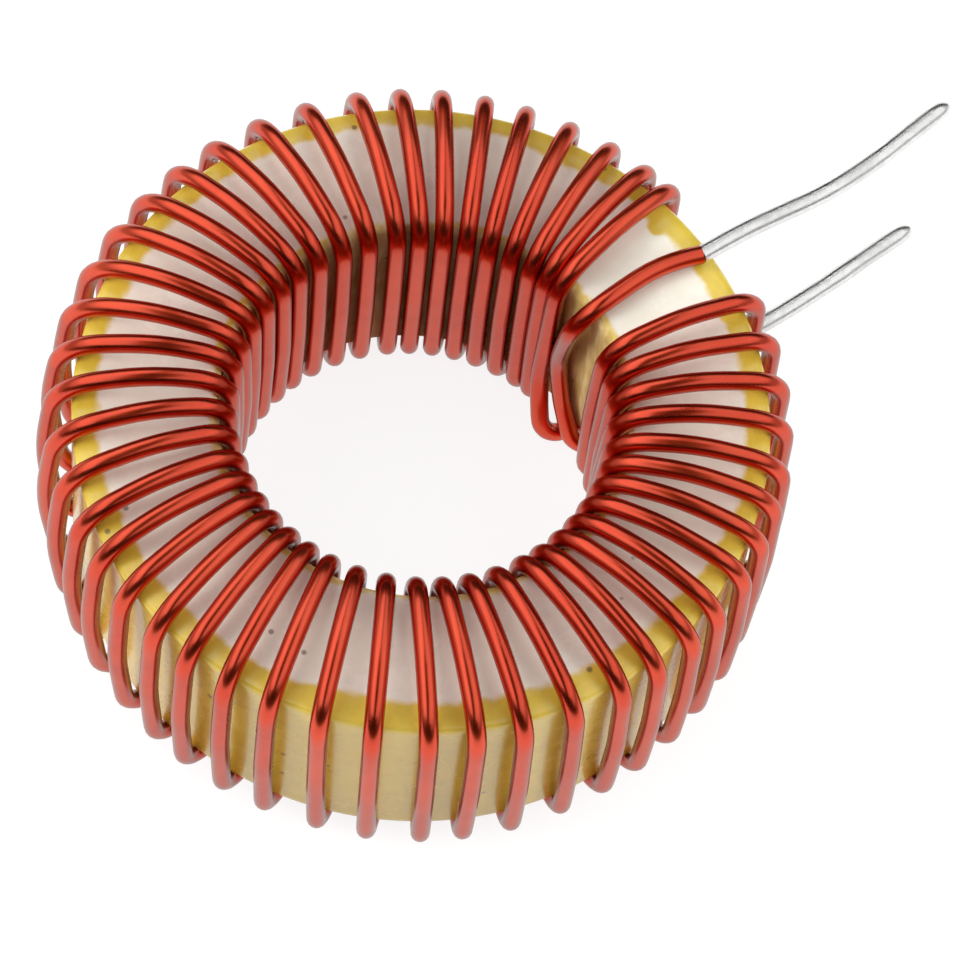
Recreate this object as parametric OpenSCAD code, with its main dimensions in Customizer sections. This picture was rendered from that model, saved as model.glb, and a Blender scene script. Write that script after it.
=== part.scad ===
// Toroidal inductor: one enamelled wire wound on a painted ring of pressed iron powder.
// The ring's axis is Z, the part lies on its lower turns at z = 0 and both leads point along +X,
// the start lead from the upper face and the finish lead from the lower one.

/* [Core] */
// Outer diameter of the ring
core_od = 33.3; // [28:0.1:40]
// Bore of the ring
core_id = 19.5; // [19:0.1:22]
// Height of the ring
core_h = 11.4; // [8:0.1:16]
// Radius of the ring's rounded edges
core_edge_r = 0.4; // [0.3:0.05:1.2]

/* [Wire] */
// Diameter of the wire over its enamel
wire_d = 0.93; // [0.6:0.01:1]
// Times that the wire passes through the bore
turns = 47; // [30:1:49]
// Room between the wire and the ring's rounded edges, where the bends touch
edge_gap = 0.02; // [0.01:0.01:0.05]
// Room between the wire and the ring's bore
bore_gap = 0.05; // [0.05:0.01:0.2]
// Room between the wire and the ring's two faces, where the stiff wire bows out
face_gap = 0.55; // [0.05:0.01:0.9]
// Room between the wire and the ring's outer wall
outer_gap = 0.2; // [0.05:0.01:0.6]
// Further room at the outer wall on the side where the turns are slack
slack_gap = 0.38; // [0:0.01:0.6]
// Further room that the last turn leaves at the foot of the bore, where it hangs loose
loose_gap = 0.9; // [0:0.1:1.5]

/* [Leads] */
// Diameter of the tinned ends
lead_d = 0.9; // [0.5:0.01:1]
// Length of each tinned end
lead_length = 14.5; // [6:0.1:40]
// Length of the taper where the tin runs up to the enamel
tin_taper = 1.5; // [0.5:0.1:3]
// Room between the leads and the ring's faces
lead_gap = 0.05; // [0.02:0.01:0.3]
// Distance inside the ring's outer wall at which the enamel stops
enamel_inset = 0.1; // [0:0.1:2]
// Length of enamelled wire that lies along X before each tinned end
lead_straight = 1; // [0.8:0.1:2]
// Bend radius where the wire turns to run along X
lead_bend_r = 3; // [1.5:0.1:4]

/* [Hidden] */
$fn = 72;
wire_r = wire_d / 2;

// Heights of the wire below the ring, of the ring's lower face and of the wire above the ring
low_z = wire_r;
core_z = wire_d + face_gap;
high_z = core_z + core_h + face_gap + wire_r;

// Heights of the two leads
start_z = core_z + core_h + lead_gap + wire_r;
finish_z = core_z - lead_gap - wire_r;

// Distance of the wire's centre line from the axis along the bore
bore_wire_r = core_id / 2 - bore_gap - wire_r;

// Where the enamel stops on both leads
tin_x = core_od / 2 - enamel_inset;

// Turns laid by hand are not quite even: the angles of some turns, numbered from the start lead,
// with the others spread evenly between them
last_mark = 46;
spacing_marks = [[0, 0], [1, -13.2], [5, -44], [12, -91.8], [19, -147.9], [25, -190.8], [35, -267.2],
                 [38, -292.9], [45, -342.6], [last_mark, -348.9]];

// Angles by which the wire drifts as it crosses the upper face and follows the bore and the outer wall
face_drift = 3;
bore_drift = 0.5;
wall_drift = 0.6;

// The first pass leans as it crosses the upper face and slants as it goes down the bore
start_lean = 2.5;
start_slant = 7;

// Bearing of the side where the turns are slack
slack_side = 139;

// A straight run reaches into the bends at its ends, which are slightly slimmer than the run
joint_overlap = 0.05;
bend_slimming = 0.02;

function unit(v) = v / norm(v);
function polar(r, angle, z) = [r * cos(angle), r * sin(angle), z];
function turn_angle(k) = lookup(k * last_mark / (turns - 1), spacing_marks);
function wall_angle(k) = turn_angle(k) + face_drift / 2;
function bore_angle(k) = k == 0 ? start_lean : turn_angle(k) - face_drift / 2;
function bore_slant(k) = k == 0 ? start_slant : bore_drift;
function hang(k) = k == turns - 1 ? loose_gap : 0;
function slack(k) = pow(max(0, cos(turn_angle(k) - slack_side)), 2);
function wall_gap(k) = outer_gap + slack_gap * slack(k);
function wall_wire_r(k) = core_od / 2 + wall_gap(k) + wire_r;

// The widest bend that passes a rounded edge with edge_gap left, between a face and a wall with these gaps;
// the first pass leaves the face at the lead's own gap
function widest_bend(a, b) =
    core_edge_r + wire_r + a + b - edge_gap + sqrt(2 * (a - edge_gap) * (b - edge_gap));
function bore_bend_r(k) = widest_bend(k == 0 ? lead_gap : face_gap, bore_gap);
function wall_bend_r(k) = widest_bend(face_gap, wall_gap(k));

// Corners of turn k, before they are rounded, each with its bend radius
function wall_low(k) = [polar(wall_wire_r(k), wall_angle(k) + wall_drift, low_z), wall_bend_r(k)];
function wall_high(k) = [polar(wall_wire_r(k), wall_angle(k), high_z), wall_bend_r(k)];
function bore_high(k) = [polar(bore_wire_r, bore_angle(k), high_z), bore_bend_r(k)];
function bore_low(k) = [polar(bore_wire_r - hang(k), bore_angle(k) - bore_slant(k), low_z), bore_bend_r(k)];

// The wire's corners from the start lead to the finish lead
corners = [
    [[tin_x, 0, start_z], 0],
    [[tin_x - lead_straight, 0, start_z], lead_bend_r],
    bore_high(0),
    bore_low(0),
    for (k = [1 : turns - 1]) each [wall_low(k), wall_high(k), bore_high(k), bore_low(k)],
    [[tin_x - lead_straight, 0, finish_z], lead_bend_r],
    [[tin_x, 0, finish_z], 0]
];
last_corner = len(corners) - 1;
function corner(i) = corners[i][0];
function radius(i) = corners[i][1];
function heading(i) = unit(corner(i + 1) - corner(i));
function is_end(i) = i == 0 || i == last_corner;
function bend_angle(i) = acos(heading(i - 1) * heading(i));
function setback(i) = is_end(i) ? 0 : radius(i) * tan(bend_angle(i) / 2);
function overlap(i) = is_end(i) ? 0 : joint_overlap;

// Puts its children at a point, with their X, Y and Z along the given directions
module placed(x, y, z, at) {
    multmatrix([[x[0], y[0], z[0], at[0]],
                [x[1], y[1], z[1], at[1]],
                [x[2], y[2], z[2], at[2]],
                [0, 0, 0, 1]])
        children();
}

// Straight run of wire from corner i to the next one
module run(i) {
    along = heading(i);
    from = corner(i) + along * (setback(i) - overlap(i));
    to = corner(i + 1) - along * (setback(i + 1) - overlap(i + 1));
    helper = abs(along[2]) < 0.7 ? [0, 0, 1] : [1, 0, 0];
    side = unit(cross(helper, along));
    placed(side, cross(along, side), along, from)
        cylinder(r = wire_r, h = norm(to - from));
}

// Bend of the wire round corner i
module bend(i) {
    before = heading(i - 1);
    after = heading(i);
    inward = unit(after - before * (after * before));
    centre = corner(i) - before * setback(i) + inward * radius(i);
    placed(-inward, before, cross(-inward, before), centre)
        rotate_extrude(angle = bend_angle(i))
            translate([radius(i), 0])
                circle(r = wire_r - bend_slimming);
}

// Tinned end of the wire, along +X from where the enamel stops
module lead(z) {
    translate([tin_x, 0, z])
        rotate([0, 90, 0])
            rotate_extrude()
                polygon([[0, 0], [wire_r, 0], [lead_d / 2, tin_taper], [lead_d / 2, lead_length],
                         [0, lead_length]]);
}

// Half of the ring's section, with rounded edges
module core_section() {
    wall = (core_od - core_id) / 2;
    translate([core_id / 2, core_z])
        union() {
            translate([core_edge_r, 0])
                square([wall - 2 * core_edge_r, core_h]);
            translate([0, core_edge_r])
                square([wall, core_h - 2 * core_edge_r]);
            for (x = [core_edge_r, wall - core_edge_r], y = [core_edge_r, core_h - core_edge_r])
                translate([x, y])
                    circle(r = core_edge_r);
        }
}

module core() {
    color("goldenrod")
        rotate_extrude()
            core_section();
}

module winding() {
    color("orangered")
        union() {
            for (i = [0 : last_corner - 1])
                run(i);
            for (i = [1 : last_corner - 1])
                bend(i);
        }
}

module start_lead() {
    color("silver")
        lead(start_z);
}

module finish_lead() {
    color("silver")
        lead(finish_z);
}

core();
winding();
start_lead();
finish_lead();
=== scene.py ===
# %% [markdown]
# # A toroidal inductor
# The part is a ring of pressed iron powder, painted yellow with a white upper face, and one enamelled
# copper wire that passes through it 47 times. The packed solids give every size and place, so this lesson
# only dresses them: it sweeps a more lifelike wire along the winding, tins the two ends, turns and paints
# the ring and lights a small white studio.

# %% Load the packed part
import math

import bpy
import numpy as np
from mathutils import Matrix, Vector


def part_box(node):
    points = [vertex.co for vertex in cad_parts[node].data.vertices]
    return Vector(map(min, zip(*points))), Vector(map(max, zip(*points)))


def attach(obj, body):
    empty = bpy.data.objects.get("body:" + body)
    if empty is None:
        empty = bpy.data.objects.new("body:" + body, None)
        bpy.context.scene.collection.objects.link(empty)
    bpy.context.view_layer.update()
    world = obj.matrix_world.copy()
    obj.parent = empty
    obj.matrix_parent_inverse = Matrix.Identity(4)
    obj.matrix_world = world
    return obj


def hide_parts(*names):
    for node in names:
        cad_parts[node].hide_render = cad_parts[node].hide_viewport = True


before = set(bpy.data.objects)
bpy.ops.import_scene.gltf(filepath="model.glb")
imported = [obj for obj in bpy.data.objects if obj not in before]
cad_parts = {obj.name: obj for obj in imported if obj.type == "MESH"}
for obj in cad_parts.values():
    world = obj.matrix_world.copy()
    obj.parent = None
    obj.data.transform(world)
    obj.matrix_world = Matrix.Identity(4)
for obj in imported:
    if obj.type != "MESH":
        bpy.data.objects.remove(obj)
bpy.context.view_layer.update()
print("nodes:", sorted(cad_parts))

# %% [markdown]
# ## Sizes
# Lengths are in metres, as in the packed part, and MM keeps the numbers readable. The ring's outside and
# heights are read from its solid. The bore and the wire repeat the sizes of the solids, because a box
# doesn't show them. The enamel is stripped a little further back than on the solids, as the photograph
# shows it.

# %% Sizes of the ring and the wire
MM = 0.001
ring_low, ring_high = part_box("core")
ring_r = ring_high.x
ring_base_z = ring_low.z
ring_top_z = ring_high.z
bore_r = 9.75 * MM
edge_r = 0.4 * MM
wire_d = 0.93 * MM
wire_r = wire_d / 2
edge_gap = 0.03 * MM
bore_gap = 0.11 * MM
corner_gap = 0.2 * MM
outer_gap = 0.2 * MM
slack_gap = 0.08 * MM
top_z = ring_top_z + corner_gap + wire_r
foot_z = ring_base_z - corner_gap - wire_r
start_low, start_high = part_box("start_lead")
finish_low, finish_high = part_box("finish_lead")
start_z = (start_low.z + start_high.z) / 2
finish_z = (finish_low.z + finish_high.z) / 2
strip_back = 0.7 * MM
tin_x = start_low.x - strip_back
lead_tip_x = start_high.x
lead_d = 0.9 * MM
lead_straight = 1.0 * MM
start_dip = -0.16 * MM
print("ring radius and height in mm:", round(ring_r / MM, 2), round((ring_top_z - ring_base_z) / MM, 2))

# %% [markdown]
# ## The path of the wire
# The winding is one wire that goes down through the bore, out under the ring, up its outer wall and back
# over the upper face, again and again. It was laid by hand, so its turns are not quite even. A few listed
# angles say where some of the turns lie, and the others are spread between them. Stiff wire touches
# the ring only at its edges and bows off its faces, so each turn has four corners with a low crown between
# each two, and a fixed seed shifts them a little. A helix made by a screw modifier would be too regular, and
# a curve drawn point by point would have no rule that could be changed later.

# %% Angles of the turns
rng = np.random.default_rng(11)
turn_count = 47
mark_turns = [0, 1, 5, 7, 12, 14, 16, 19, 23, 25, 28, 32, 35, 38, 40, 43, 44, 45, 46]
mark_angles = [0, -13.8, -43.8, -57, -91.9, -108.4, -123.5, -148.7, -177.5, -191.4, -214.8, -245.5,
               -267.8, -293.1, -307.3, -329, -336.7, -343.7, -348.7]
turn_angles = np.interp(np.arange(turn_count), mark_turns, mark_angles)
face_drift = 3.0
bore_drift = 0.5
wall_drift = 0.6
slack_side = 139.0
slack_bow = 0.50 * MM
lean_side = -41.0
inner_lean = 0.6
bow_lean = 0.08 * MM
slack = np.cos(np.radians(turn_angles - slack_side)).clip(0, 1) ** 2
lean = np.cos(np.radians(turn_angles - lean_side))


def uneven(middle, spread, reach):
    """One value for each turn, spread round a middle and kept within reach of it."""
    return middle + rng.normal(0, spread, turn_count).clip(-reach, reach)


outer_sway = uneven(0, 0.22, 0.4)
inner_sway = uneven(0, 0.12, 0.2)
foot_sway = uneven(0, 0.30, 0.5)
stand_off = outer_gap + slack_gap * slack + uneven(0, 0.02 * MM, 0.04 * MM)
top_crown = uneven(0.70 * MM, 0.04 * MM, 0.07 * MM)
wall_crown = uneven(0.20 * MM, 0.03 * MM, 0.06 * MM) + slack_bow * slack
bore_crown = uneven(0.14 * MM, 0.04 * MM, 0.08 * MM)
crown_share = uneven(0.52, 0.02, 0.04)
end_lean = np.interp(np.arange(turn_count), [0, 43, 45, 46], [0, 0, 2.2, 2.0])
print("turns:", turn_count, "spread over", round(-turn_angles[-1], 1), "degrees")


# %% Helpers for corners and bends
def polar(r, degrees, z):
    a = math.radians(degrees)
    return np.array([r * math.cos(a), r * math.sin(a), z])


def unit(v):
    return v / np.linalg.norm(v)


def section(point):
    """A point's distance from the axis and its height."""
    return np.array([math.hypot(point[0], point[1]), point[2]])


def widest_bend(before, corner, after, edge):
    """The widest bend at a corner that still clears a rounded edge of the ring, given by its centre."""
    to_before = unit(section(before) - section(corner))
    to_after = unit(section(after) - section(corner))
    middle = unit(to_before + to_after)
    stretch = 1 / math.sin(math.acos(float(to_before @ to_after)) / 2)
    to_edge = np.array(edge) - section(corner)
    clear = edge_r + wire_r + edge_gap
    ahead = stretch * float(to_edge @ middle) - clear
    square = stretch ** 2 - 1
    return (ahead + math.sqrt(max(0, ahead ** 2 - square * (to_edge @ to_edge - clear ** 2)))) / square


def crown(start, end, share, lift):
    """The point at a share of the way from start to end, lifted off it."""
    return start + (end - start) * share + lift


edge_centres = {
    "wall_high": (ring_r - edge_r, ring_top_z - edge_r),
    "wall_low": (ring_r - edge_r, ring_base_z + edge_r),
    "bore_high": (bore_r + edge_r, ring_top_z - edge_r),
    "bore_low": (bore_r + edge_r, ring_base_z + edge_r),
}
print("edges that the bends pass:", sorted(edge_centres))

# %% Corners of the turns
UP = np.array([0.0, 0.0, 1.0])
bore_wire_r = bore_r - bore_gap - wire_r
inner_rise = 0.15 * MM
face_crown_r = 7 * MM
wall_crown_r = 16 * MM
slant_bend_r = 6 * MM
swing_bend_r = 5 * MM
loose_bend_r = 1.2 * MM
lead_bend_r = 3 * MM
foot_rounding = 0.04 * MM
foot_crown = ring_base_z - wire_d - corner_gap + foot_rounding

# The first pass leaves the start lead, crosses the upper face and slants down the bore
start_tin = np.array([tin_x, start_dip, start_z])
start_crown = np.array([13.8 * MM, 0.42 * MM, start_z + 0.12 * MM])
start_edge = polar(bore_wire_r - 0.7 * MM, -1.2, top_z)
slant_high = polar(bore_wire_r, 7.6, 6.9 * MM)
slant_low = polar(bore_wire_r, 3.0, 3.6 * MM)
start_foot = polar(bore_wire_r, -6.2, foot_z)

# The last pass hangs loose: it leaves the wall of the bore, swings across and turns under the ring
loose_swing = polar(bore_wire_r - 0.2 * MM, 12.9, 3.9 * MM)
loose_foot = polar(8.05 * MM, 1.6, wire_r)
finish_turn = np.array([tin_x - lead_straight, 0, finish_z])
finish_tin = np.array([tin_x, 0, finish_z])

# A corner is its point and its bend radius, or the edge of the ring that the bend passes
corners = [
    (start_tin, 0.0),
    (start_crown, face_crown_r),
    (start_edge, "bore_high"),
    (slant_high, slant_bend_r),
    (slant_low, lead_bend_r),
    (start_foot, "bore_low"),
]
last_foot = start_foot
for k in range(1, turn_count):
    outer_angle = turn_angles[k] + face_drift / 2
    inner_angle = turn_angles[k] - face_drift / 2 + inner_sway[k] + inner_lean * lean[k] + end_lean[k]
    outward = polar(1, outer_angle, 0)
    sideways = polar(1, outer_angle + 90, 0)
    inward = -polar(1, inner_angle, 0)
    wall_wire_r = ring_r + stand_off[k] + wire_r
    wall_low = polar(wall_wire_r, outer_angle + wall_drift + foot_sway[k], foot_z)
    wall_high = polar(wall_wire_r, outer_angle + outer_sway[k], top_z)
    bore_high = polar(bore_wire_r, inner_angle, top_z + inner_rise)
    bore_low = polar(bore_wire_r, inner_angle - bore_drift, foot_z)
    top_lift = UP * top_crown[k] + sideways * bow_lean * lean[k]
    corners += [
        (crown(last_foot, wall_low, 0.5, -UP * foot_crown), face_crown_r),
        (wall_low, "wall_low"),
        (crown(wall_low, wall_high, 0.5, outward * wall_crown[k]), wall_crown_r),
        (wall_high, "wall_high"),
        (crown(wall_high, bore_high, crown_share[k], top_lift), face_crown_r),
        (bore_high, "bore_high"),
        (crown(bore_high, bore_low, 0.5, inward * bore_crown[k]), wall_crown_r),
        (bore_low, "bore_low"),
    ]
    last_foot = bore_low
corners[-2:] = [
    (loose_swing, swing_bend_r),
    (loose_foot, loose_bend_r),
    (finish_turn, lead_bend_r),
    (finish_tin, 0.0),
]
for i, (point, bend) in enumerate(corners):
    if bend in edge_centres:
        corners[i] = (point, widest_bend(corners[i - 1][0], point, corners[i + 1][0], edge_centres[bend]))
bend_radii = [bend for point, bend in corners[1:-1]]
print("bends in mm, from", round(min(bend_radii) / MM, 2), "to", round(max(bend_radii) / MM, 2))
print("corners:", len(corners))


# %% Rounding the corners into one path
def rounded_path(corners, bend_step, run_steps):
    """Points along straight runs and round bends, with bend_step as the angle between two points."""
    bends = []
    for i, (point, radius) in enumerate(corners):
        if i in (0, len(corners) - 1):
            bends.append([point])
            continue
        before = unit(point - corners[i - 1][0])
        after = unit(corners[i + 1][0] - point)
        angle = math.acos(float(np.clip(before @ after, -1, 1)))
        inward = unit(after - before * (before @ after))
        centre = point - before * radius * math.tan(angle / 2) + inward * radius
        steps = np.linspace(0, angle, 3 + round(angle / bend_step))
        bends.append([centre - inward * radius * math.cos(t) + before * radius * math.sin(t) for t in steps])
    points = []
    shares = np.linspace(0, 1, run_steps + 2)[1:-1]
    for bend, following in zip(bends, bends[1:] + [None]):
        points += bend
        if following is not None:
            points += [bend[-1] + (following[0] - bend[-1]) * t for t in shares]
    return np.array(points)


def softened(points, rounds):
    """Ease the joins between runs and bends, with both ends kept."""
    for _ in range(rounds):
        points[1:-1] = points[1:-1] * 0.5 + (points[:-2] + points[2:]) * 0.25
    return points


winding_path = softened(rounded_path(corners, bend_step=math.radians(9), run_steps=3), rounds=2)
path_length = np.linalg.norm(np.diff(winding_path, axis=0), axis=1).sum()
print("path points:", len(winding_path), "length in m:", round(path_length, 3))

# %% [markdown]
# ## Sweeping a wire along a path
# All three pieces of wire are a round section carried along a path, which is what Geometry Nodes do well.
# One tree serves them all: it turns the path's edges into a curve, varies the thickness a little, sweeps a
# circle along it, closes the ends and sets the material. Its named inputs give the diameter, the number of
# sides and the unevenness. A curve object with a bevel would look the same but couldn't vary by a rule.


# %% The tree that sweeps a wire
def build_wire_tree():
    tree = bpy.data.node_groups.new("swept_wire", "GeometryNodeTree")
    sockets = tree.interface
    sockets.new_socket("Path", in_out="INPUT", socket_type="NodeSocketGeometry")
    sockets.new_socket("Diameter", in_out="INPUT", socket_type="NodeSocketFloat")
    sockets.new_socket("Sides", in_out="INPUT", socket_type="NodeSocketInt")
    sockets.new_socket("Unevenness", in_out="INPUT", socket_type="NodeSocketFloat")
    sockets.new_socket("Lumps per metre", in_out="INPUT", socket_type="NodeSocketFloat")
    sockets.new_socket("Finish", in_out="INPUT", socket_type="NodeSocketMaterial")
    sockets.new_socket("Wire", in_out="OUTPUT", socket_type="NodeSocketGeometry")
    nodes = tree.nodes
    link = tree.links.new
    given = nodes.new("NodeGroupInput")
    result = nodes.new("NodeGroupOutput")
    to_curve = nodes.new("GeometryNodeMeshToCurve")
    link(given.outputs["Path"], to_curve.inputs["Mesh"])

    # Thickness: the taper of each point times a noise round 1
    lumps = nodes.new("ShaderNodeTexNoise")
    lumps.inputs["Detail"].default_value = 3
    link(given.outputs["Lumps per metre"], lumps.inputs["Scale"])
    centred = nodes.new("ShaderNodeMath")
    centred.operation = "SUBTRACT"
    centred.inputs[1].default_value = 0.5
    link(lumps.outputs["Fac"], centred.inputs[0])
    swell = nodes.new("ShaderNodeMath")
    swell.operation = "MULTIPLY_ADD"
    swell.inputs[2].default_value = 1.0
    link(centred.outputs[0], swell.inputs[0])
    link(given.outputs["Unevenness"], swell.inputs[1])
    taper = nodes.new("GeometryNodeInputNamedAttribute")
    taper.data_type = "FLOAT"
    taper.inputs["Name"].default_value = "taper"
    thickness = nodes.new("ShaderNodeMath")
    thickness.operation = "MULTIPLY"
    link(swell.outputs[0], thickness.inputs[0])
    link(taper.outputs["Attribute"], thickness.inputs[1])

    # The sweep itself
    half = nodes.new("ShaderNodeMath")
    half.operation = "MULTIPLY"
    half.inputs[1].default_value = 0.5
    link(given.outputs["Diameter"], half.inputs[0])
    circle = nodes.new("GeometryNodeCurvePrimitiveCircle")
    link(given.outputs["Sides"], circle.inputs["Resolution"])
    link(half.outputs[0], circle.inputs["Radius"])
    sweep = nodes.new("GeometryNodeCurveToMesh")
    sweep.inputs["Fill Caps"].default_value = True
    link(to_curve.outputs["Curve"], sweep.inputs["Curve"])
    link(circle.outputs["Curve"], sweep.inputs["Profile Curve"])
    link(thickness.outputs[0], sweep.inputs["Scale"])
    smooth = nodes.new("GeometryNodeSetShadeSmooth")
    link(sweep.outputs["Mesh"], smooth.inputs["Geometry"])
    real = nodes.new("GeometryNodeRealizeInstances")
    link(smooth.outputs["Geometry"], real.inputs["Geometry"])
    finish = nodes.new("GeometryNodeSetMaterial")
    link(real.outputs["Geometry"], finish.inputs["Geometry"])
    link(given.outputs["Finish"], finish.inputs["Material"])
    link(finish.outputs["Geometry"], result.inputs["Wire"])
    return tree


wire_tree = build_wire_tree()
print("wire tree nodes:", len(wire_tree.nodes))


# %% A helper that makes one wire
def swept_wire(name, path, tapers, settings):
    """Sweep a wire along a path and return it as a plain mesh object."""
    route = bpy.data.meshes.new(name + "_route")
    route.from_pydata([tuple(p) for p in path], [(i, i + 1) for i in range(len(path) - 1)], [])
    attribute = route.attributes.new("taper", "FLOAT", "POINT")
    attribute.data.foreach_set("value", np.asarray(tapers, dtype=np.float32))
    carrier = bpy.data.objects.new(name + "_carrier", route)
    bpy.context.scene.collection.objects.link(carrier)
    modifier = carrier.modifiers.new("sweep", "NODES")
    modifier.node_group = wire_tree
    inputs = [item for item in wire_tree.interface.items_tree if item.in_out == "INPUT"]
    identifiers = {item.name: item.identifier for item in inputs}
    for label, value in settings.items():
        modifier[identifiers[label]] = value
    bpy.context.view_layer.update()
    graph = bpy.context.evaluated_depsgraph_get()
    mesh = bpy.data.meshes.new_from_object(carrier.evaluated_get(graph), preserve_all_data_layers=True,
                                           depsgraph=graph)
    mesh.name = name
    bpy.data.objects.remove(carrier)
    wire = bpy.data.objects.new(name, mesh)
    bpy.context.scene.collection.objects.link(wire)
    triangles = sum(len(p.vertices) - 2 for p in mesh.polygons)
    print(name, "triangles:", triangles)
    return wire


# %% [markdown]
# ## Uneven surfaces
# Paint, enamel and solder are all a little uneven, each at its own scale. One shader group makes this once:
# a coarse and a fine noise, mixed into a tone from 0 to 1. Each material uses it with its own sizes, for its
# colour, its roughness and its bumps.


# %% The unevenness group
def build_uneven_group():
    group = bpy.data.node_groups.new("unevenness", "ShaderNodeTree")
    sockets = group.interface
    sockets.new_socket("Vector", in_out="INPUT", socket_type="NodeSocketVector")
    sockets.new_socket("Coarse per metre", in_out="INPUT", socket_type="NodeSocketFloat")
    sockets.new_socket("Fine per metre", in_out="INPUT", socket_type="NodeSocketFloat")
    sockets.new_socket("Share of fine", in_out="INPUT", socket_type="NodeSocketFloat")
    sockets.new_socket("Tone", in_out="OUTPUT", socket_type="NodeSocketFloat")
    nodes = group.nodes
    link = group.links.new
    given = nodes.new("NodeGroupInput")
    result = nodes.new("NodeGroupOutput")
    coarse = nodes.new("ShaderNodeTexNoise")
    coarse.inputs["Detail"].default_value = 3
    link(given.outputs["Vector"], coarse.inputs["Vector"])
    link(given.outputs["Coarse per metre"], coarse.inputs["Scale"])
    fine = nodes.new("ShaderNodeTexNoise")
    fine.inputs["Detail"].default_value = 2
    link(given.outputs["Vector"], fine.inputs["Vector"])
    link(given.outputs["Fine per metre"], fine.inputs["Scale"])
    mixed = nodes.new("ShaderNodeMix")
    mixed.data_type = "FLOAT"
    link(given.outputs["Share of fine"], mixed.inputs[0])
    link(coarse.outputs["Fac"], mixed.inputs[2])
    link(fine.outputs["Fac"], mixed.inputs[3])
    link(mixed.outputs[0], result.inputs["Tone"])
    return group


uneven_group = build_uneven_group()
print("group sockets:", [item.name for item in uneven_group.interface.items_tree])


# %% Short ways to add shader nodes
def add_math(tree, operation, *values):
    """A math node whose inputs are sockets or plain numbers."""
    node = tree.nodes.new("ShaderNodeMath")
    node.operation = operation
    for socket, value in zip(node.inputs, values):
        if isinstance(value, (int, float)):
            socket.default_value = value
        else:
            tree.links.new(value, socket)
    return node.outputs[0]


def add_vector_math(tree, operation, vector, other=(0, 0, 0)):
    """A vector math node on a socket and a fixed vector."""
    node = tree.nodes.new("ShaderNodeVectorMath")
    node.operation = operation
    tree.links.new(vector, node.inputs[0])
    node.inputs[1].default_value = other
    return node


def add_spread(tree, value, low, high, to_low=0.0, to_high=1.0):
    """A smooth step of a value from one range to another."""
    node = tree.nodes.new("ShaderNodeMapRange")
    node.interpolation_type = "SMOOTHSTEP"
    tree.links.new(value, node.inputs["Value"])
    node.inputs["From Min"].default_value = low
    node.inputs["From Max"].default_value = high
    node.inputs["To Min"].default_value = to_low
    node.inputs["To Max"].default_value = to_high
    return node.outputs["Result"]


class Finish:
    """A material with one Principled shader and short ways to add nodes."""

    def __init__(self, name):
        self.material = bpy.data.materials.new(name)
        self.material.use_nodes = True
        self.tree = self.material.node_tree
        self.tree.nodes.clear()
        self.shader = self.tree.nodes.new("ShaderNodeBsdfPrincipled")
        output = self.tree.nodes.new("ShaderNodeOutputMaterial")
        self.link(self.shader.outputs["BSDF"], output.inputs["Surface"])
        self.place = self.tree.nodes.new("ShaderNodeTexCoord").outputs["Object"]

    def link(self, source, target):
        self.tree.links.new(source, target)

    def drive(self, label, source):
        self.link(source, self.shader.inputs[label])

    def set(self, **values):
        for label, value in values.items():
            self.shader.inputs[label.replace("_", " ")].default_value = value

    def math(self, operation, *values):
        return add_math(self.tree, operation, *values)

    def distance(self, point):
        return add_vector_math(self.tree, "DISTANCE", self.place, point).outputs["Value"]

    def stretched(self, factors):
        return add_vector_math(self.tree, "MULTIPLY", self.place, factors).outputs["Vector"]

    def spread(self, value, low, high, to_low=0.0, to_high=1.0):
        return add_spread(self.tree, value, low, high, to_low, to_high)

    def blend(self, amount, first, second):
        node = self.tree.nodes.new("ShaderNodeMix")
        node.data_type = "RGBA"
        self.link(amount, node.inputs[0])
        for socket, value in ((node.inputs[6], first), (node.inputs[7], second)):
            if isinstance(value, tuple):
                socket.default_value = (*value, 1.0)
            else:
                self.link(value, socket)
        return node.outputs[2]

    def uneven(self, vector, coarse, fine, share):
        node = self.tree.nodes.new("ShaderNodeGroup")
        node.node_tree = uneven_group
        self.link(vector, node.inputs["Vector"])
        node.inputs["Coarse per metre"].default_value = coarse
        node.inputs["Fine per metre"].default_value = fine
        node.inputs["Share of fine"].default_value = share
        return node.outputs["Tone"]

    def bump(self, height, depth, strength=1.0):
        node = self.tree.nodes.new("ShaderNodeBump")
        node.inputs["Distance"].default_value = depth
        node.inputs["Strength"].default_value = strength
        self.link(height, node.inputs["Height"])
        self.drive("Normal", node.outputs["Normal"])


print("short ways:", [name for name in vars(Finish) if not name.startswith("_")])

# %% [markdown]
# ## Enamel on copper
# Winding wire is bright copper under a clear red enamel. The copper tints what it mirrors, so the wire is a
# red metal, and the enamel is a clear coat with pale mirror images of its own. A specular tint makes the
# wire's edges duller and less red than its middle. A red plastic would stay flat where the real wire goes
# almost black.

# %% The enamel finish
deep_red = (0.66, 0.050, 0.016)
bright_red = (0.80, 0.082, 0.028)
edge_tint = (0.40, 0.70, 0.70, 1.0)
enamel = Finish("wire_enamel")
enamel.set(Metallic=1.0, IOR=1.5, Coat_Weight=0.6, Coat_Roughness=0.14, Coat_IOR=1.5)
enamel.set(Specular_Tint=edge_tint)
enamel_tone = enamel.uneven(enamel.place, 160.0, 900.0, 0.3)
enamel.drive("Base Color", enamel.blend(enamel.spread(enamel_tone, 0.3, 0.7), deep_red, bright_red))
enamel.drive("Roughness", enamel.spread(enamel_tone, 0.25, 0.75, 0.26, 0.32))
enamel.bump(enamel_tone, 0.03 * MM, 0.15)
print("enamel nodes:", len(enamel.tree.nodes))

# %% The winding
winding = swept_wire("winding_wire", winding_path, np.ones(len(winding_path)), {
    "Diameter": wire_d,
    "Sides": 16,
    "Unevenness": 0.03,
    "Lumps per metre": 260.0,
    "Finish": enamel.material,
})

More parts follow.
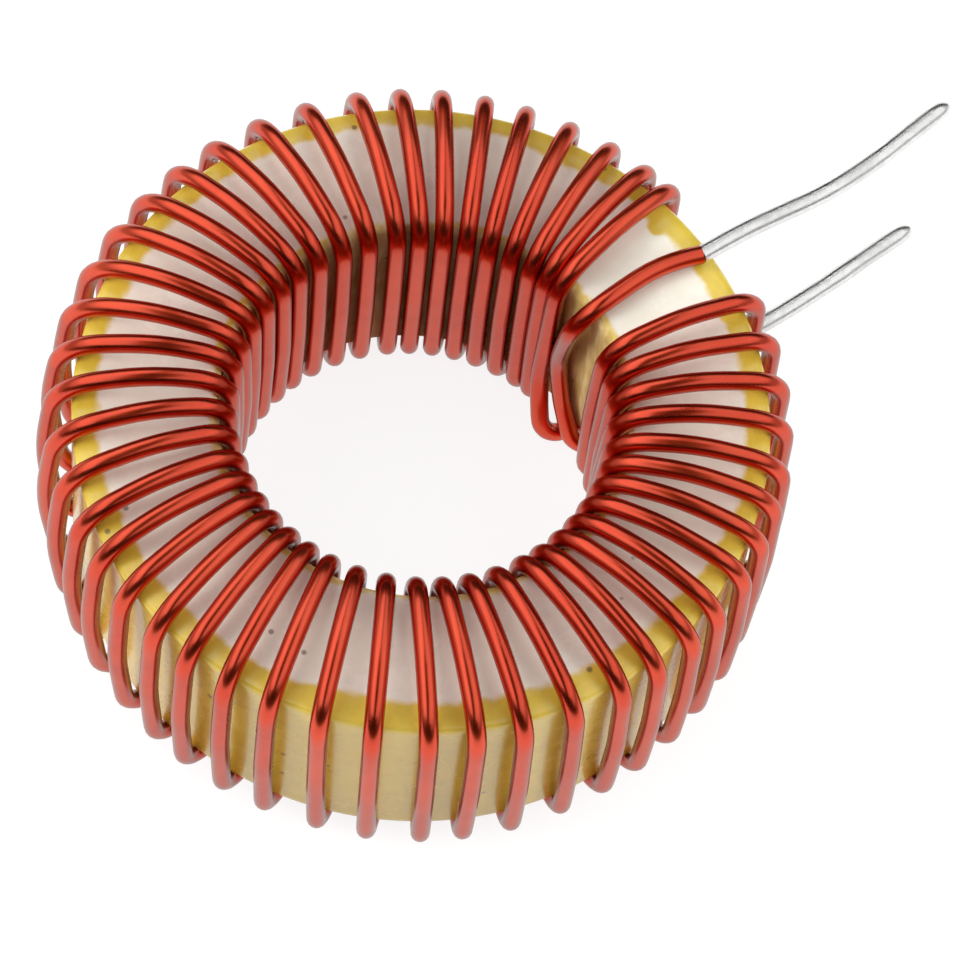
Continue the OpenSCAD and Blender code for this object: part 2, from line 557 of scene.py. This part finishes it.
# %% [markdown]
# ## Tinned ends
# Both ends of the wire are stripped and dipped in solder. The solder leaves them slightly lumpy, a little
# slimmer than the enamel and not quite straight. They are swept by the same tree, along a path with a gentle
# bow, and the last points taper to a rounded tip.

# %% The tinned finish
dull_tin = (0.80, 0.80, 0.79)
bright_tin = (0.94, 0.94, 0.93)
tin = Finish("tinned_wire")
tin.set(Metallic=1.0)
tin_tone = tin.uneven(tin.place, 500.0, 2400.0, 0.4)
tin.drive("Base Color", tin.blend(tin.spread(tin_tone, 0.3, 0.7), dull_tin, bright_tin))
tin.drive("Roughness", tin.spread(tin_tone, 0.3, 0.7, 0.38, 0.22))
tin.bump(tin_tone, 0.08 * MM, 0.6)
print("tin nodes:", len(tin.tree.nodes))

# %% The two leads
lead_points = 60
ease_points = 17
tip_tapers = [0.96, 0.85, 0.5]


def lead_path(bow_x, bow_y, z, first_y):
    """A path along X that bows sideways through a few places, given in mm."""
    x = np.linspace(tin_x, lead_tip_x, lead_points)
    y = np.interp(x, np.array(bow_x) * MM, np.array(bow_y) * MM)
    kernel = np.hanning(ease_points) / np.hanning(ease_points).sum()
    y = np.convolve(np.pad(y, ease_points // 2, mode="edge"), kernel, mode="valid")
    y[0] = first_y
    return np.column_stack([x, y, np.full(lead_points, z)])


lead_taper = np.ones(lead_points)
lead_taper[-len(tip_tapers):] = tip_tapers
lead_size = {"Diameter": lead_d, "Sides": 24, "Lumps per metre": 700.0, "Finish": tin.material}
start_bow_x = [16.5, 18.2, 20.4, 22.7, 24.5, 26.5, 28.5, 31]
start_bow_y = [-0.16, -0.12, -0.26, -0.46, -0.38, -0.19, 0.16, 0.55]
start_path = lead_path(start_bow_x, start_bow_y, start_z, start_dip)
start_lead = swept_wire("start_lead_wire", start_path, lead_taper, {**lead_size, "Unevenness": 0.08})
finish_bow_x = [16.5, 18, 22.1, 25.7, 28, 31]
finish_bow_y = [0, -0.05, -0.15, 0.06, 0.3, 0.56]
finish_path = lead_path(finish_bow_x, finish_bow_y, finish_z, 0.0)
finish_lead = swept_wire("finish_lead_wire", finish_path, lead_taper, {**lead_size, "Unevenness": 0.2})

# %% [markdown]
# ## Paint on the ring
# The ring is dipped in yellow paint, and its upper face has a white coat that stops short of both edges with
# an uneven border. Near the start lead the border has a small yellow blob, the bore is a dull, streaky ochre
# that is painted paler than the paint itself, as painted light where the bore gets little light, and a few
# pits show dark. One material does all of this by the place on the ring: the height and the
# distance from the axis say which coat lies there. Two separate meshes would need a step between the coats
# that the real ring doesn't show.

# %% Where the coats lie
white_end_r = 15.6 * MM
white_full_r = 15.2 * MM
white_start_r = bore_r + 0.2 * MM
white_inner_r = bore_r + 0.6 * MM
border_waver = 1.6 * MM
blob_place = (15.0 * MM, 2.45 * MM, ring_top_z)
blob_waver = 1.4 * MM
paint = Finish("core_paint")
paint.set(IOR=1.5, Coat_Roughness=0.10, Coat_IOR=1.5)
split = paint.tree.nodes.new("ShaderNodeSeparateXYZ")
paint.link(paint.place, split.inputs[0])
x_square = paint.math("POWER", split.outputs["X"], 2.0)
y_square = paint.math("POWER", split.outputs["Y"], 2.0)
flat_r = paint.math("SQRT", paint.math("ADD", x_square, y_square))
border_tone = paint.math("SUBTRACT", paint.uneven(paint.place, 260.0, 1400.0, 0.3), 0.5)
border_r = paint.math("MULTIPLY_ADD", border_tone, border_waver, flat_r)
inside = paint.spread(border_r, white_end_r, white_full_r)
outside = paint.spread(border_r, white_start_r, white_inner_r)
on_top = paint.spread(split.outputs["Z"], ring_top_z - 0.12 * MM, ring_top_z - 0.02 * MM)
blob_r = paint.math("MULTIPLY_ADD", border_tone, blob_waver, paint.distance(blob_place))
off_blob = paint.spread(blob_r, 0.50 * MM, 0.75 * MM)
coat_area = paint.math("MULTIPLY", paint.math("MULTIPLY", inside, outside), on_top)
white_mask = paint.math("MULTIPLY", coat_area, off_blob)
in_bore = paint.spread(flat_r, bore_r + 0.45 * MM, bore_r + 0.1 * MM)
pits = paint.tree.nodes.new("ShaderNodeTexVoronoi")
pits.inputs["Scale"].default_value = 420.0
paint.link(paint.place, pits.inputs["Vector"])
pit_mask = paint.math("MULTIPLY", paint.spread(pits.outputs["Distance"], 0.08, 0.04), 0.7)
print("white coat in mm, from", round(white_start_r / MM, 2), "to", round(white_end_r / MM, 2))

# %% The paint finish
dark_yellow = (0.63, 0.46, 0.045)
light_yellow = (0.80, 0.61, 0.08)
dark_white = (0.84, 0.83, 0.70)
light_white = (0.92, 0.91, 0.80)
# The bore's ochre is its streaky paint, set paler than that paint as painted light, because the bore gets
# little light.
dark_ochre_painted_light = (0.58, 0.41, 0.12)
light_ochre_painted_light = (0.94, 0.79, 0.38)
pit_brown = (0.10, 0.08, 0.055)
bore_dullness = 0.4
coat_weight = 0.5
paint_tone = paint.uneven(paint.place, 140.0, 1100.0, 0.35)
patches = paint.spread(paint_tone, 0.3, 0.7)
yellow = paint.blend(patches, dark_yellow, light_yellow)
white = paint.blend(patches, dark_white, light_white)
streak_tone = paint.uneven(paint.stretched((1, 1, 0.2)), 600.0, 2200.0, 0.4)
# Streaky ochre with painted light: both ochre tones are lifted to make up for the bore's shade.
ochre_and_painted_light = paint.blend(paint.spread(streak_tone, 0.38, 0.62), dark_ochre_painted_light, light_ochre_painted_light)
dipped_and_painted_light = paint.blend(in_bore, yellow, ochre_and_painted_light)
coats = paint.blend(white_mask, dipped_and_painted_light, white)
paint.drive("Base Color", paint.blend(pit_mask, coats, pit_brown))
gloss = paint.spread(paint_tone, 0.25, 0.75, 0.20, 0.32)
paint.drive("Roughness", paint.math("MULTIPLY_ADD", in_bore, bore_dullness, gloss))
paint.drive("Coat Weight", paint.math("MULTIPLY_ADD", in_bore, -coat_weight, coat_weight))
wrinkle_tone = paint.uneven(paint.stretched((1, 1, 3)), 220.0, 700.0, 0.2)
paint.bump(wrinkle_tone, 0.05 * MM)
print("paint nodes:", len(paint.tree.nodes))

# %% [markdown]
# ## The ring
# The paint draws back from the upper rim, so the upper face falls away in a soft shoulder before the rim
# itself. Turning a section about the axis gives that shape with even faces. The other three edges have the
# rounding of the solid.


# %% The ring's section
def arc(centre_r, centre_z, radius, start, end, steps):
    """Points of an arc in the ring's section, with the angles in degrees, 0 outward and 90 up."""
    angles = np.radians(np.linspace(start, end, steps))
    return [np.array([centre_r + radius * math.cos(a), centre_z + radius * math.sin(a)]) for a in angles]


shoulder_r = 4.0 * MM
shoulder_start_r = 15.2 * MM
shoulder_z = ring_top_z - shoulder_r
rim_r = ring_r - edge_r
rim_reach = shoulder_r - edge_r
shoulder_end = math.degrees(math.acos((rim_r - shoulder_start_r) / rim_reach))
rim_z = shoulder_z + rim_reach * math.sin(math.radians(shoulder_end))
rim = arc(rim_r, rim_z, edge_r, 0, shoulder_end, 6)
shoulder = arc(shoulder_start_r, shoulder_z, shoulder_r, shoulder_end, 90, 8)
edges = [
    arc(rim_r, ring_base_z + edge_r, edge_r, -90, 0, 8),
    rim[:-1] + shoulder,
    arc(bore_r + edge_r, ring_top_z - edge_r, edge_r, 90, 180, 8),
    arc(bore_r + edge_r, ring_base_z + edge_r, edge_r, 180, 270, 8),
]
flat_shares = (0.02, 0.5, 0.98)
ring_section = []
for edge, following in zip(edges, edges[1:] + edges[:1]):
    ring_section += edge
    ring_section += [edge[-1] + (following[0] - edge[-1]) * share for share in flat_shares]
print("points in the section:", len(ring_section))

# %% The turned ring
ring_steps = 240
ring_points = [polar(r, 360 * i / ring_steps, z) for i in range(ring_steps) for r, z in ring_section]
row = len(ring_section)
ring_faces = []
for i in range(ring_steps):
    here = i * row
    there = (i + 1) % ring_steps * row
    for j in range(row):
        up_one = (j + 1) % row
        ring_faces.append((here + j, there + j, there + up_one, here + up_one))
ring_mesh = bpy.data.meshes.new("painted_ring")
ring_mesh.from_pydata([tuple(p) for p in ring_points], [], ring_faces)
ring_mesh.shade_smooth()
ring_mesh.materials.append(paint.material)
ring = bpy.data.objects.new("painted_ring", ring_mesh)
bpy.context.scene.collection.objects.link(ring)
print("painted_ring triangles:", 2 * len(ring_faces))

# %% [markdown]
# ## A white studio
# The photograph was taken on white, under large soft lights, and the glossy wire mirrors all that stands
# round it. Four soft lights hang above, with a narrow dark slot between left and right and a wider dark notch
# where the camera stands. Two paler ones hang further out, and the room's sides are pale too. The slot draws
# the thin dark line along the turns, and the notch draws the dark spots at their bends. Three small fill
# lights brighten the paint and are kept out of the mirror images. Directions are given as the camera sees
# them, with X to the right and Y away from the camera, and turned into the part's own frame.

# %% From the camera's directions to the part's
lead_bearing = math.radians(41.0)
to_part = Matrix.Rotation(-lead_bearing, 4, "Z")
rightward = to_part.to_3x3() @ Vector((1, 0, 0))
away = to_part.to_3x3() @ Vector((0, 1, 0))
print("away from the camera:", [round(v, 3) for v in away])

# %% The floor
floor_reach = 4.0
floor_corners = [(-floor_reach, -floor_reach, 0), (floor_reach, -floor_reach, 0),
                 (floor_reach, floor_reach, 0), (-floor_reach, floor_reach, 0)]
floor_mesh = bpy.data.meshes.new("studio_floor")
floor_mesh.from_pydata(floor_corners, [], [(0, 1, 2, 3)])
floor = bpy.data.objects.new("studio_floor", floor_mesh)
bpy.context.scene.collection.objects.link(floor)
floor_finish = bpy.data.materials.new("studio_floor")
floor_finish.use_nodes = True
floor_finish.cycles.emission_sampling = "NONE"
floor_mesh.materials.append(floor_finish)
print("floor reaches", floor_reach, "m each way")

# %% The floor's finish: matt for the light, white where it is seen or mirrored close by
floor_tree = floor_finish.node_tree
floor_tree.nodes.clear()
floor_output = floor_tree.nodes.new("ShaderNodeOutputMaterial")
floor_matt = floor_tree.nodes.new("ShaderNodeBsdfDiffuse")
floor_matt.inputs["Color"].default_value = (0.80, 0.80, 0.80, 1)
floor_pale = floor_tree.nodes.new("ShaderNodeBsdfDiffuse")
floor_pale.inputs["Color"].default_value = (0.20, 0.20, 0.20, 1)
floor_glow = floor_tree.nodes.new("ShaderNodeEmission")
floor_glow.inputs["Strength"].default_value = 0.86
floor_white = floor_tree.nodes.new("ShaderNodeAddShader")
floor_tree.links.new(floor_pale.outputs[0], floor_white.inputs[0])
floor_tree.links.new(floor_glow.outputs[0], floor_white.inputs[1])
floor_place = floor_tree.nodes.new("ShaderNodeTexCoord").outputs["Object"]
floor_distance = add_vector_math(floor_tree, "LENGTH", floor_place).outputs["Value"]
floor_near = add_spread(floor_tree, floor_distance, 0.004, 0.06, 0.80, 0.0)
rays = floor_tree.nodes.new("ShaderNodeLightPath").outputs
mirrored = add_math(floor_tree, "MAXIMUM", rays["Is Glossy Ray"], rays["Is Transmission Ray"])
mirrored_near = add_math(floor_tree, "MULTIPLY", mirrored, floor_near)
seen_white = add_math(floor_tree, "MAXIMUM", rays["Is Camera Ray"], mirrored_near)
floor_mix = floor_tree.nodes.new("ShaderNodeMixShader")
floor_tree.links.new(seen_white, floor_mix.inputs["Fac"])
floor_tree.links.new(floor_matt.outputs[0], floor_mix.inputs[1])
floor_tree.links.new(floor_white.outputs[0], floor_mix.inputs[2])
floor_tree.links.new(floor_mix.outputs[0], floor_output.inputs["Surface"])
print("floor nodes:", len(floor_tree.nodes))


# %% The soft lights
def soft_light(name, place, aim, width, length, radiance):
    """A rectangular lamp at a place, facing a point, that shines evenly at the given radiance."""
    data = bpy.data.lights.new(name, "AREA")
    data.shape = "RECTANGLE"
    data.size = width
    data.size_y = length
    data.energy = radiance * math.pi * width * length
    lamp = bpy.data.objects.new(name, data)
    bpy.context.scene.collection.objects.link(lamp)
    back = (Vector(place) - Vector(aim)).normalized()
    side = Vector((0, 1, 0)).cross(back).normalized()
    along = back.cross(side)
    turn = Matrix((side, along, back)).transposed().to_4x4()
    lamp.matrix_world = to_part @ Matrix.Translation(place) @ turn
    return lamp


def hung_light(name, x, y, width, length, radiance):
    """A soft light that hangs at the lamps' height and faces straight down."""
    return soft_light(name, (x, y, lamp_z), (x, y, 0), width, length, radiance)


lamp_z = 0.32
left_level = 1.35
right_level = left_level * 0.75
side_level = 0.6
fill_size = 0.24
middle = (0, 0, 0)
hung = [
    hung_light("left_back", -0.21, 0.22, 0.37, 0.30, left_level),
    hung_light("right_back", 0.21, 0.22, 0.37, 0.30, right_level),
    hung_light("left_light", -0.22, -0.125, 0.28, 0.39, left_level),
    hung_light("right_light", 0.22, -0.125, 0.28, 0.39, right_level),
    hung_light("left_side", -0.51, -0.09, 0.28, 0.92, side_level),
    hung_light("right_side", 0.51, -0.09, 0.28, 0.92, side_level),
]
fills = [
    soft_light("left_fill", (-0.46, -0.16, 0.30), middle, fill_size, fill_size, 8.5),
    soft_light("right_fill", (0.46, -0.16, 0.30), middle, fill_size, fill_size, 5.0),
    soft_light("back_fill", (0.0, 0.50, 0.28), middle, fill_size, fill_size, 3.2),
]
for lamp in fills:
    lamp.visible_glossy = False
print("lamp power in W:", [round(lamp.data.energy, 3) for lamp in hung + fills])

# %% The room around
world = bpy.data.worlds.new("studio_room")
world.use_nodes = True
world.cycles.sampling_method = "NONE"
bpy.context.scene.world = world
room = world.node_tree
room.nodes.clear()
room_output = room.nodes.new("ShaderNodeOutputWorld")
room_light = room.nodes.new("ShaderNodeBackground")
room_way = room.nodes.new("ShaderNodeTexCoord").outputs["Generated"]
room_split = room.nodes.new("ShaderNodeSeparateXYZ")
room.links.new(room_way, room_split.inputs[0])
room_height = add_spread(room, room_split.outputs["Z"], 0.0, 0.08, 0.25, 0.02)
room_across = add_vector_math(room, "DOT_PRODUCT", room_way, rightward).outputs["Value"]
room_behind = add_vector_math(room, "DOT_PRODUCT", room_way, away).outputs["Value"]
room_sides = add_spread(room, add_math(room, "MULTIPLY", room_across, room_across), 0.36, 0.60, 0.0, 0.55)
room_away = add_spread(room, room_behind, -0.65, -0.20)
room_lit = add_math(room, "MULTIPLY", room_sides, room_away)
room_walls = add_math(room, "MAXIMUM", room_height, room_lit)
room_rays = room.nodes.new("ShaderNodeLightPath").outputs
room_fill = add_math(room, "MULTIPLY", room_rays["Is Diffuse Ray"], 0.45)
room_camera = add_math(room, "MULTIPLY", room_rays["Is Camera Ray"], 1.25)
room_seen = add_math(room, "MAXIMUM", room_camera, room_fill)
room_level = add_math(room, "MAXIMUM", room_seen, room_walls)
room.links.new(room_level, room_light.inputs["Strength"])
room.links.new(room_light.outputs[0], room_output.inputs["Surface"])
bpy.context.scene.view_settings.view_transform = "Standard"
print("room nodes:", len(room.nodes))

# %% [markdown]
# ## The camera
# The view is from the front and well above, turned a little about its own axis. Its angle, distance and lens
# come from fitting the ring's edges in the photograph, and it needs no lens shift.

# %% The camera
elevation = math.radians(63.45)
camera_roll = math.radians(8.92)
camera_distance = 223.6 * MM
aim = Vector((3.20 * MM, -3.34 * MM, ring_top_z))
back = Vector((0, -math.cos(elevation), math.sin(elevation)))
side = Vector((1, 0, 0))
up = back.cross(side)
rolled_side = side * math.cos(camera_roll) + up * math.sin(camera_roll)
rolled_up = up * math.cos(camera_roll) - side * math.sin(camera_roll)
camera_turn = Matrix((rolled_side, rolled_up, back)).transposed().to_4x4()
camera_data = bpy.data.cameras.new("camera")
camera_data.sensor_width = 36.0
camera_data.lens = 177.9
camera_data.clip_start = 0.01
camera = bpy.data.objects.new("camera", camera_data)
bpy.context.scene.collection.objects.link(camera)
camera.matrix_world = to_part @ Matrix.Translation(aim + back * camera_distance) @ camera_turn
bpy.context.scene.camera = camera
print("camera at", [round(v, 4) for v in camera.matrix_world.translation])

# %% [markdown]
# ## Handing over
# Each piece says which body it rides on, which solid it stands for and which finish it takes.

# %% Bodies, solids and finishes
dressed = [
    (ring, "core", "core_paint"),
    (winding, "winding", "wire_enamel"),
    (start_lead, "start_lead", "tinned_wire"),
    (finish_lead, "finish_lead", "tinned_wire"),
]
for piece, node, slot in dressed:
    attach(piece, "root")
    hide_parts(node)
